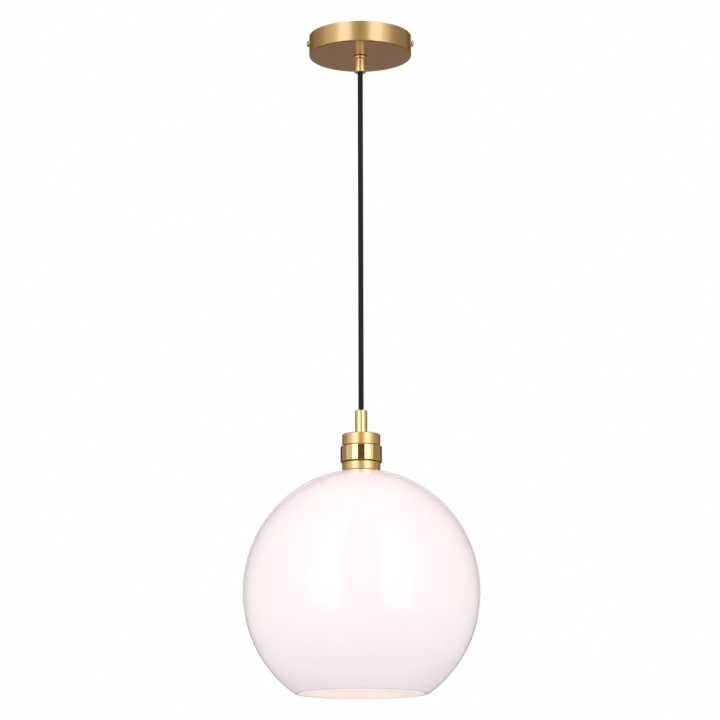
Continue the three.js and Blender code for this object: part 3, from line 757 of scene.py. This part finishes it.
def make_canopy_screws():
    """Two polished domed screws with hexagon sockets."""
    for node, side in (("canopy_screw_left", -1), ("canopy_screw_right", 1)):
        lowest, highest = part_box(node)
        head_radius, head_height = (highest.z - lowest.z) / MM / 2, 2.8
        shank = (highest.x - lowest.x) / MM - head_height
        under_head = max(abs(lowest.x), abs(highest.x)) / MM - head_height
        screw = screw_along_z(node, head_radius, head_height, 2, shank, 0.7, True)
        cut(screw, pin(1.25, head_height - 1.4, head_height + 1, 6))
        place(screw, (side * under_head, 0, middle(node).z), (0, 90 * side, 0))
        finished(screw, node)


def make_ground_screw():
    """Green screw with a cross recess, up into the crossbar."""
    node = "ground_screw"
    length = high(node) - low(node) - SCREW_HEAD
    screw = screw_along_z(node, radius(node), SCREW_HEAD, 2, length, 0.7)
    cut(screw, pin(2.2, SCREW_HEAD - 1, SCREW_HEAD + 1, TINY, cross))
    place(screw, (middle(node).x, 0, low(node) + SCREW_HEAD), (180, 0, 0))
    finished(screw, node)


def make_grip_screws():
    """Set screws with hexagon sockets, in from the back."""
    for node in ("upper_grip_screw", "lower_grip_screw"):
        lowest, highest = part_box(node)
        length = (highest.y - lowest.y) / MM
        screw = turned(node, [
            (0, 0),
            (PIN - 0.4, 0),
            *wall(PIN - 0.08, 0.4, length - 0.3, 0.15),
            (PIN - 0.35, length),
            (0, length),
        ], 48, thread(0.5, 0.07, 0, length, 0.4))
        cut(screw, pin(0.85, length - 1.2, length + 1, 6))
        place(screw, (0, lowest.y / MM, middle(node).z), (-90, 0, 0))
        finished(screw, node)


def make_jackets():
    """The cord's sleeve where the two grips hold it."""
    for node in ("cord_upper_end", "cord_lower_end"):
        bottom, top, edge = low(node), high(node), 0.4
        sleeve = turned(node, [
            (0, bottom),
            *arc(CORD - edge, bottom + edge, edge, -90, 0, 4),
            *arc(CORD - edge, top - edge, edge, 0, 90, 4),
            (0, top),
        ], SMALL)
        finished(sleeve, node)


def wire(node, points):
    """An insulated lead through points in millimetres."""
    data = bpy.data.curves.new(node, "CURVE")
    data.dimensions = "3D"
    data.bevel_depth = LEAD * MM
    data.bevel_resolution = 5
    data.resolution_u = 12
    data.use_fill_caps = True
    line = data.splines.new("BEZIER")
    line.bezier_points.add(len(points) - 1)
    for point, spot in zip(line.bezier_points, points):
        point.co = [part * MM for part in spot]
        point.handle_left_type = point.handle_right_type = "AUTO"
    lead = bpy.data.objects.new(node, data)
    bpy.context.collection.objects.link(lead)
    finished(lead, node)


def make_canopy_wiring():
    """Three leads from the cord's end to their twist-on connectors."""
    top = high("cord_upper_end")
    for kind, turn in (("live", 210), ("neutral", 90), ("ground", 330)):
        connector = "wire_connector_" + kind
        x, y = middle(connector).x, middle(connector).y
        mouth = high(connector)
        angle = math.radians(turn)
        start = Vector((math.cos(angle), math.sin(angle))) * LEAD_SPREAD
        wire("canopy_lead_" + kind, [
            (start.x, start.y, top + 0.3),
            (start.x * 1.1, start.y * 1.1, top + 3),
            (start.x + x * 0.22, start.y + y * 0.22, -5),
            (x * 0.65, y * 0.65, -3.6),
            (x * 0.93, y * 0.93, -3.9),
            (x, y, mouth),
            (x, y, mouth - 5),
        ])
        make_connector(connector, x, y, mouth)


def make_connector(node, x, y, mouth):
    """Tapered cap with gripping ribs and its open mouth up."""
    wide, height = radius(node), mouth - low(node)
    narrow, steps, rib_top, rib_depth, hollow = 3.6, 24, -4, 0.35, -9

    def ribs(r, z, angle):
        outside = z < rib_top and (r > 4.9 or z < hollow - 0.5)
        depth = max(0, min(1, (rib_top - z) / 1.5, (z + height) / 1.5))
        rib = rib_depth * depth * (0.5 + 0.5 * math.cos(12 * angle))
        return r - rib if outside and r > 1 else r

    taper = []
    for i in range(steps + 1):
        taper.append((narrow + (wide - narrow) * i / steps, 1 - height + (height - 4) * i / steps))
    cap = turned(node, [
        (0, -height),
        (narrow - 1, -height),
        *taper,
        *arc(wide - 0.4, -0.4, 0.4, 0, 90, 4),
        (wide - 1.4, 0),
        (wide - 2, hollow),
        (0, hollow),
    ], MIDDLING, ribs)
    place(cap, (x, y, mouth))
    finished(cap, node)


def ease_crossbar():
    """The strap keeps its CAD shape, with its stamped edges eased."""
    strap = frame["nodes"]["crossbar"]
    strap.data.materials.clear()
    strap.data.materials.append(FINISHES[SLOTS["crossbar"]])
    weld = strap.modifiers.new("weld", "WELD")
    weld.merge_threshold = 0.01 * MM
    ease = strap.modifiers.new("ease", "BEVEL")
    ease.width = 0.2 * MM
    ease.segments = 2
    ease.limit_method = "ANGLE"
    ease.angle_limit = math.radians(50)


# ---------------------------------------------------------------- cord

def plait(r, z, angle):
    """The sleeve's strands, which cross each other round the cord."""
    return r + 0.07 + 0.08 * math.sin(8 * angle + 1.4 * z) * math.sin(8 * angle - 1.4 * z)


def make_cord():
    """One flexible cord from the upper grip's mouth to the lower one's. It hangs straight under the lamp."""
    top, bottom = high("cord_neck"), low("cord")
    tube = turned("cord_finished", [
        (0, bottom),
        *arc(CORD - 0.3, bottom + 0.3, 0.3, -90, 0, 3),
        *wall(CORD, bottom + 0.9, top - CORD, 0.7),
        *arc(0, top - CORD, CORD, 9, 90),
    ], 48, plait)
    tube.data.shade_smooth()
    tube.data.materials.append(FINISHES["black_braid"])
    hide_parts("cord_neck", "cord")
    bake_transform(tube)
    tail_top, tail_bottom = high("cord_tail"), low("cord_tail")
    tail = turned("cord_tail", [
        *arc(0, tail_bottom + CORD, CORD, -90, 0),
        *arc(CORD - 0.3, tail_top - 0.3, 0.3, 0, 90, 3),
        (0, tail_top),
    ], 48, plait)
    finished(tail, "cord_tail")


# ---------------------------------------------------------------- lamp head

def make_head_shells():
    """Cap, polished ring and sleeve, and the tube that joins them from inside."""
    node = "socket_cap"
    r, bottom, top = radius(node), low(node), high(node)
    finished(turned(node, rounded([
        (HOLE, top - WALL, 0.1),
        (r - WALL, top - WALL, 0.3),
        (r - WALL, bottom, 0.2),
        (r, bottom, 0.25),
        (r, top, 1.5),
        (HOLE, top, 0.15),
    ], 6), FINE), node)
    node = "polished_ring"
    r, bottom, top = radius(node), low(node), high(node)
    bore = radius("socket_cap") - WALL
    finished(turned(node, rounded([
        (bore, bottom, 0.2),
        (r - RING_CHAMFER, bottom, 0.25),
        (r, bottom + RING_CHAMFER, 0.25),
        (r, top - RING_CHAMFER, 0.25),
        (r - RING_CHAMFER, top, 0.25),
        (bore, top, 0.2),
    ]), FINE), node)
    finished(plain_ring("lower_sleeve", radius("lower_sleeve") - WALL, 0.15, FINE), "lower_sleeve")
    finished(plain_ring("coupling_tube", radius("coupling_tube") - WALL, 0.2, FINE), "coupling_tube")


def make_lampholder():
    """Porcelain cap and body: a wire chamber above a platform, the lamp socket below it, a thread outside."""
    screw_hole, contact_hole, socket, chamber = 1.8, 2.2, 14.6, 15.5
    cap = plain_ring("lampholder_cap", HOLE, 0.5, MIDDLING)
    cut(cap, place(pin(screw_hole, -5, 5), (0, 10, middle("lampholder_cap").z)))
    finished(cap, "lampholder_cap")
    node = "lampholder_body"
    r, bottom, top = radius(node), low(node), high(node)
    platform_top = top - 15
    platform_bottom = platform_top - 7
    skirt_top = platform_top - 1
    winding = thread(THREAD_PITCH, THREAD_DEPTH, bottom + 0.5, skirt_top)
    body = turned(node, [
        (contact_hole, platform_bottom),
        *arc(socket - 0.5, platform_bottom - 0.5, 0.5, 90, 0, 4),
        (socket, bottom + 0.4),
        *arc(socket + 0.4, bottom + 0.4, 0.4, 180, 270, 4),
        *arc(r - 0.7, bottom + 0.4, 0.4, -90, 0, 4),
        *wall(r - 0.3, bottom + 0.6, skirt_top),
        (r, skirt_top + 0.4),
        *arc(r - 0.5, top - 0.5, 0.5, 0, 90, 4),
        *arc(chamber + 0.4, top - 0.4, 0.4, 90, 180, 4),
        (chamber, platform_top),
        (contact_hole, platform_top),
    ], MIDDLING, lambda r, z, angle: winding(r, z, angle) if r > 17 else r)
    for side in (-1, 1):
        x = side * abs(middle("terminal_screw_live").x)
        cut(body, place(pin(screw_hole, -6, 6), (x, 0, (platform_top + platform_bottom) / 2)))
    finished(body, node)


def make_socket_contacts():
    """Screw shell, pressed from thin brass, and the contact that meets the bulb's tip."""
    node = "screw_shell"
    bottom, top = low(node), high(node)
    opening, outside, sheet = 6.5, 14, 0.45
    inside = outside - sheet
    winding = thread(CAP_PITCH, CAP_DEPTH, bottom + 0.8, top - 2)
    shell = turned(node, [
        (opening, top - sheet),
        *arc(inside - 1, top - sheet - 1, 1, 90, 0, 4),
        *wall(inside, top - 1.6, bottom + 0.2),
        *arc((inside + outside) / 2, bottom + 0.2, sheet / 2, 180, 360, 6),
        *wall(outside, bottom + 0.3, top - 1.5),
        *arc(outside - 1, top - 1, 1, 0, 90, 4),
        (opening, top),
    ], MIDDLING, lambda r, z, angle: winding(r, z, angle) if r > 13 else r)
    finished(shell, node)
    node = "centre_contact"
    bottom, top = low(node), high(node)
    seat, button, stem, rivet = high("screw_shell"), 4.2, 1.9, 3.2
    finished(turned(node, rounded([
        (0, bottom),
        (button, bottom, 0.3),
        (button, seat, 0.2),
        (stem, seat),
        (stem, top - 1.2),
        (rivet, top - 1.2, 0.2),
        (rivet, top, 0.5),
        (0, top),
    ]), TINY), node)


def wiring_screw(node, shank):
    """A small screw with a cross recess, for a lead's end."""
    screw = screw_along_z(node, radius(node), SCREW_HEAD, 1.5, shank, 0.6)
    cut(screw, pin(2, SCREW_HEAD - 0.9, SCREW_HEAD + 1, TINY, cross))
    return screw


def make_head_wiring():
    """Three leads from the cord's end: two to the terminal screws and one to the ground screw."""
    start = low("cord_lower_end") - 0.3
    for kind, side in (("live", -1), ("neutral", 1)):
        node = "terminal_screw_" + kind
        at = middle(node).x
        screw = wiring_screw(node, 6.5)
        finished(place(screw, (at, 0, high(node) - SCREW_HEAD)), node)
        end = high(node) + 0.3
        wire("head_lead_" + kind, [
            (side * LEAD_SPREAD, -0.7, start),
            (side * 2, -0.7, start - 3),
            (at * 0.75, 0, end + 5),
            (at, 0, end + 2.5),
            (at, 0, end),
        ])
    node = "head_ground_screw"
    screw = wiring_screw(node, 4.5)
    finished(place(screw, (0, middle(node).y, low(node) + SCREW_HEAD), (180, 0, 0)), node)
    at, end = middle(node).y, low(node) - 0.3
    wire("head_lead_ground", [
        (0, 1.5, start),
        (0, 2.2, start - 3),
        (0, at - 3.5, start - 6.5),
        (0, at - 0.4, start - 5),
        (0, at, end),
    ])


# ---------------------------------------------------------------- glass globe and bulb

def globe_side(inset, steps=72):
    """Points of one surface of the globe, from its neck down to its mouth."""
    r, half = radius("glass_globe") - inset, HALF_HEIGHT - inset
    centre = low("glass_globe") + MOUTH_BELOW_CENTRE
    start, end = math.asin(NECK / r), math.acos(-MOUTH_BELOW_CENTRE / half)
    angles = [start + (end - start) * i / steps for i in range(steps + 1)]
    return [(r * math.sin(angle), centre + half * math.cos(angle)) for angle in angles]


def make_globe():
    """Even wall, slightly taller than a ball, with a ground and polished rim at the mouth."""
    inner, outer = globe_side(GLASS), globe_side(0)[::-1]
    inner[0], inner[-1] = (*inner[0], 0.3), (*inner[-1], 0.5)
    outer[0], outer[-1] = (*outer[0], 1.2), (*outer[-1], 0.3)
    finished(turned("glass_globe", rounded([*inner, *outer]), FINEST), "glass_globe")


def make_gaskets():
    """A flat one above the glass, and one with a sloping top that follows the glass from below."""
    finished(plain_ring("upper_gasket", radius("upper_gasket") - WALL, 0.3, MIDDLING), "upper_gasket")
    node = "lower_gasket"
    r, bottom, top, bore = radius(node), low(node), high(node), 19.6
    finished(turned(node, rounded([
        (bore, bottom, 0.2),
        (r, bottom, 0.2),
        (r, bottom + 0.9, 0.2),
        (bore, top, 0.2),
    ], 3), MIDDLING), node)


def make_shade_ring():
    """Flanged ring with a ribbed hub. Its thread meshes with the lampholder's."""
    node = "shade_ring"
    r, bottom, top = radius(node), low(node), high(node)
    bore, hub, flange, rib = 19.2, 22.5, 2.5, 0.4
    winding = thread(THREAD_PITCH, THREAD_DEPTH, bottom, top, 0.8)

    def shape(r, z, angle):
        if r < bore + 1:
            return winding(r, z, angle)
        on_hub = hub - 1 < r < hub + 0.1 and z < top - flange - 0.3
        return r - rib + rib * max(0.0, math.cos(24 * angle)) ** 0.5 if on_hub else r

    ring = turned(node, [
        (bore + 0.4, bottom),
        *arc(hub - 0.5, bottom + 0.5, 0.5, -90, 0, 4),
        (hub, top - flange - 1),
        (hub, top - flange),
        *arc(r - 0.4, top - flange + 0.4, 0.4, -90, 0, 4),
        *arc(r - 0.4, top - 0.4, 0.4, 0, 90, 4),
        (bore + 0.4, top),
        *wall(bore, top - 0.3, bottom + 0.3),
    ], FINEST, shape)
    finished(ring, node)


def swell(start, pull_in, pull_out, end, steps=20):
    """Points on a cubic curve between two ends."""
    points, pulls = [], (start, pull_in, pull_out, end)
    for i in range(steps + 1):
        t = i / steps
        weights = ((1 - t) ** 3, 3 * t * (1 - t) ** 2, 3 * t * t * (1 - t), t ** 3)
        points.append(tuple(sum(w * p[axis] for w, p in zip(weights, pulls)) for axis in (0, 1)))
    return points


def bulb_side(inset):
    """Outline of the bulb's glass, from its neck down to its tip."""
    bottom, top, ball = low("bulb_glass"), high("bulb_glass"), radius("bulb_glass")
    neck, centre = radius("bulb_cap") - 0.1 - inset, bottom + ball
    widest = ball - inset
    side = swell((neck, top), (neck + 3.5, top - 15.7), (widest, centre + 22), (widest, centre))
    return [*side, *arc(0, centre, widest, -5, -90, 20)]


def make_bulb():
    """Frosted globe bulb with a screw cap."""
    glass = turned("bulb_glass", [*bulb_side(0)[::-1], *bulb_side(1)], MIDDLING)
    finished(glass, "bulb_glass")
    node = "bulb_cap"
    r, bottom, top = radius(node), low(node), high(node)
    winding = thread(CAP_PITCH, CAP_DEPTH, bottom + 2, top - 3.5)
    cap = turned(node, [
        (0, top - 0.6),
        (6, top - 0.6),
        (r - 0.65, top - 3.6),
        *wall(r - 0.6, top - 3.8, bottom + 0.2),
        *arc(r - 0.375, bottom + 0.2, 0.225, 180, 360, 6),
        *wall(r - 0.15, bottom + 0.3, top - 3.5),
        (r - 0.3, top - 3.2),
        *arc(5.8, top - 0.4, 0.4, 45, 90, 4),
        (0, top),
    ], MIDDLING, lambda r, z, angle: winding(r, z, angle) if r > 12 else r)
    finished(cap, node)
    node = "bulb_contact"
    bottom, top = low(node), high(node)
    tip = turned(node, rounded([
        (0, bottom),
        (4.2, bottom, 0.2),
        (4.2, top - 1.6, 0.6),
        (3, top, 0.4),
        (0, top),
    ]), TINY)
    finished(tip, node)


make_camera()
FINISHES = make_finishes()
make_cord()
make_canopy()
make_nuts()
make_washers_and_collar()
make_upper_grip()
make_lower_grip()
make_canopy_screws()
make_ground_screw()
make_grip_screws()
make_jackets()
make_canopy_wiring()
ease_crossbar()
make_head_shells()
make_lampholder()
make_socket_contacts()
make_head_wiring()
make_globe()
make_gaskets()
make_shade_ring()
make_bulb()
make_lights()
make_world()
make_floor()
